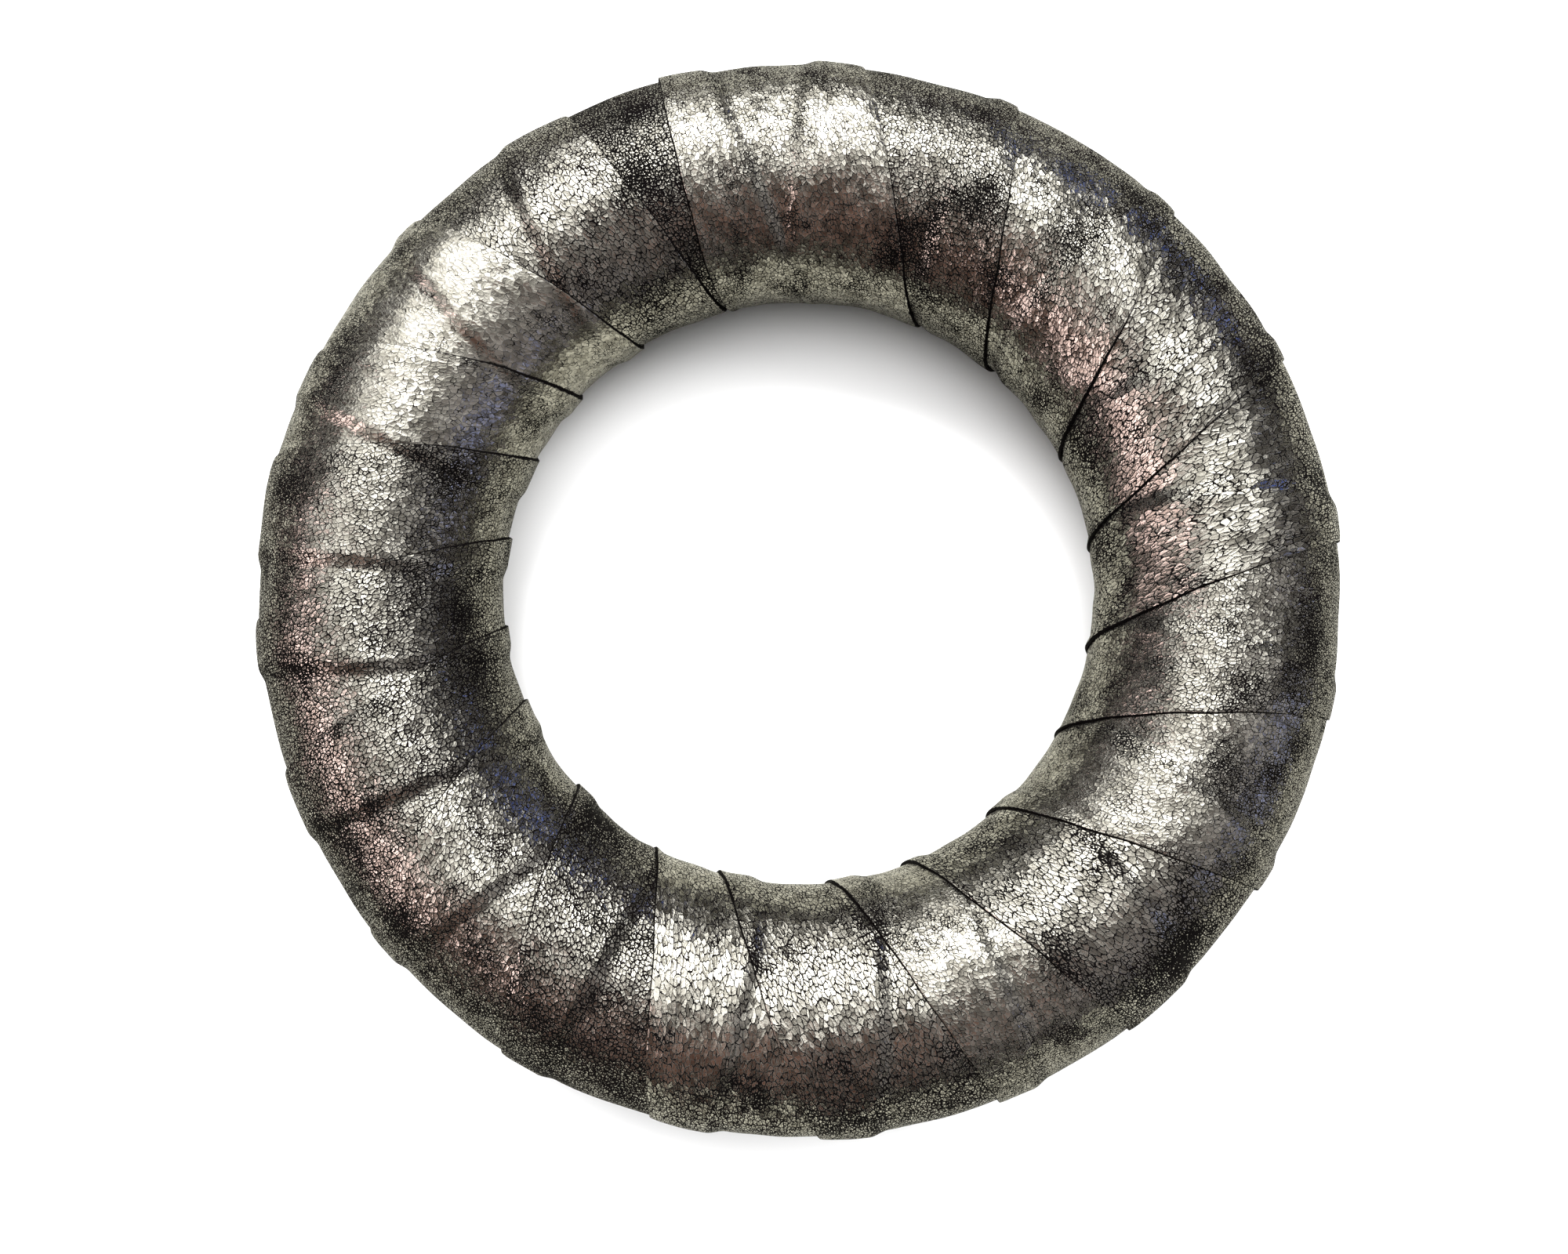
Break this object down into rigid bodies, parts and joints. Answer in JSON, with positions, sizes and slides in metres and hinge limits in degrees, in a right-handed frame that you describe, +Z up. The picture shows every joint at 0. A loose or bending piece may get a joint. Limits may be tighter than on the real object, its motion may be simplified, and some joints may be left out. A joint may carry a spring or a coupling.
{
  "type": "wreath frame",
  "caption": "Round foam ring wrapped in lapped strips of crackled silver foil leather: a padded base for building or hanging a wreath.",
  "frame": {"origin": "on the surface that the ring lies on, under the centre of the ring", "axes": "+Z up out of the display face, along the ring's axis; +X and +Y lie in the plane of the ring, with +Y towards the top of the ring as it hangs"},
  "size_m": [0.3039, 0.3042, 0.0664],
  "materials": {
    "foil_leather": "black leather with a crackled silver foil face, satin metallic",
    "foam": "white expanded polystyrene, moulded beads",
    "pin_wire": "bright drawn wire"
  },
  "bodies": {
    "root": {"core_upper_half": "foam", "core_lower_half": "foam", "wrap_strip_01": "foil_leather", "wrap_strip_02": "foil_leather", "wrap_strip_03": "foil_leather", "wrap_strip_04": "foil_leather", "wrap_strip_05": "foil_leather", "wrap_strip_06": "foil_leather", "wrap_strip_07": "foil_leather", "wrap_strip_08": "foil_leather", "wrap_strip_09": "foil_leather", "wrap_strip_10": "foil_leather", "wrap_strip_11": "foil_leather", "wrap_strip_12": "foil_leather", "wrap_strip_13": "foil_leather", "wrap_strip_14": "foil_leather", "wrap_strip_15": "foil_leather", "wrap_strip_16": "foil_leather", "wrap_strip_17": "foil_leather", "wrap_strip_18": "foil_leather", "wrap_strip_19": "foil_leather", "wrap_strip_20": "foil_leather", "greening_pins": "pin_wire"}
  },
  "joints": []
}
